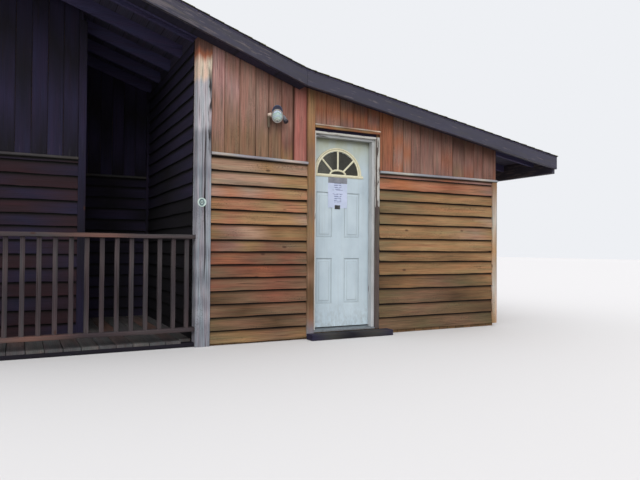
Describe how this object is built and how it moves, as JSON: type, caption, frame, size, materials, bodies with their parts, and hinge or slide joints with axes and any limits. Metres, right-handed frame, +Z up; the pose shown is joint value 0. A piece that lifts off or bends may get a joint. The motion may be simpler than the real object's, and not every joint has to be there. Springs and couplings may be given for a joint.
{
  "type": "wooden outhouse with lap siding, an entry door and a covered porch",
  "caption": "Timber outhouse with lap siding and vertical boards, a white panelled door with a fanlight, a roof in two pitches with a deep eave, and a covered porch with a railing.",
  "frame": {"origin": "on the ground, below the middle of the roof's outline", "axes": "+X along the front from left to right as seen from outside, +Y into the building, +Z up"},
  "size_m": [7.294, 2.864, 3.9741],
  "materials": {
    "floor_wood": "worn bare floor boards",
    "dark_step_wood": "charcoal painted, worn plank",
    "sill_metal": "dull mill finish",
    "wall_frame_wood": "rough sheathing and lining",
    "lap_wood": "weathered orange-brown stain on lap boards",
    "dark_lap_wood": "dark red-brown stain on the porch's lap boards and vertical boards",
    "board_wood": "red-brown semi-transparent stain on vertical boards",
    "grey_wood": "bare silver-grey weathered wood",
    "post_wood": "orange-brown stained post, grey at the foot",
    "corner_wood": "pale tan corner board",
    "jamb_paint": "white paint, peeling and mildewed",
    "cap_wood": "brown weathered drip cap",
    "door_steel": "cool white satin paint on pressed steel",
    "fanlight_plastic": "yellowed cream moulding",
    "door_glass": "dark obscured glass",
    "notice_paper": "blank sheet in a sleeve",
    "knob_metal": "dulled brass",
    "roof_timber": "rough sawn timber in shade",
    "shingle": "granulated asphalt shingles with moss",
    "barge_wood": "dark grey-purple paint, flaking, lichen to the right",
    "lamp_paint": "dark blue-grey painted lamp",
    "disc_plastic": "pale plain disc"
  },
  "bodies": {
    "house": {"room_floor": "floor_wood", "porch_floor": "floor_wood", "doorstep": "dark_step_wood", "door_sill": "sill_metal", "front_wall_left": "wall_frame_wood", "front_wall_right": "wall_frame_wood", "front_wall_over_door": "wall_frame_wood", "left_wall": "wall_frame_wood", "right_wall": "wall_frame_wood", "back_wall": "wall_frame_wood", "porch_back_wall": "wall_frame_wood", "wing_front_wall": "wall_frame_wood", "wing_side_wall": "wall_frame_wood", "wing_end_wall": "wall_frame_wood", "wing_back_wall": "wall_frame_wood", "front_laps_left": "lap_wood", "front_laps_right": "lap_wood", "left_wall_laps": "dark_lap_wood", "right_wall_laps": "lap_wood", "back_wall_laps": "lap_wood", "wing_laps": "dark_lap_wood", "front_boards_left": "board_wood", "front_boards_right": "board_wood", "wing_boards": "dark_lap_wood", "wing_rails": "grey_wood", "drip_rails": "grey_wood", "corner_post": "grey_wood", "porch_post": "grey_wood", "door_post": "post_wood", "corner_boards": "corner_wood", "jamb_left": "jamb_paint", "jamb_right": "jamb_paint", "jamb_head": "jamb_paint", "door_moulding": "jamb_paint", "head_moulding": "jamb_paint", "door_drip_cap": "cap_wood", "rafters_upper": "roof_timber", "rafters_lower": "roof_timber", "rafter_blocks": "roof_timber", "break_beam": "roof_timber", "roof_deck": "roof_timber", "roofing": "shingle", "barge_board_upper": "barge_wood", "barge_board_lower": "barge_wood", "barge_board_back": "barge_wood", "eave_boards": "barge_wood", "front_soffit": "roof_timber", "porch_railing": "grey_wood", "wall_lamp": "lamp_paint", "post_disc": "disc_plastic"},
    "door": {"door_slab": "door_steel", "fanlight_frame": "fanlight_plastic", "fanlight_glass": "door_glass", "door_notice": "notice_paper", "door_knobs": "knob_metal", "door_hinges": "knob_metal"}
  },
  "joints": [
    {"name": "door_hinge", "type": "hinge", "parent": "house", "child": "door", "pos_m": [0.9945, -1.0697, 0.1], "axis": [0, 0, -1], "range_deg": [0, 100]}
  ]
}
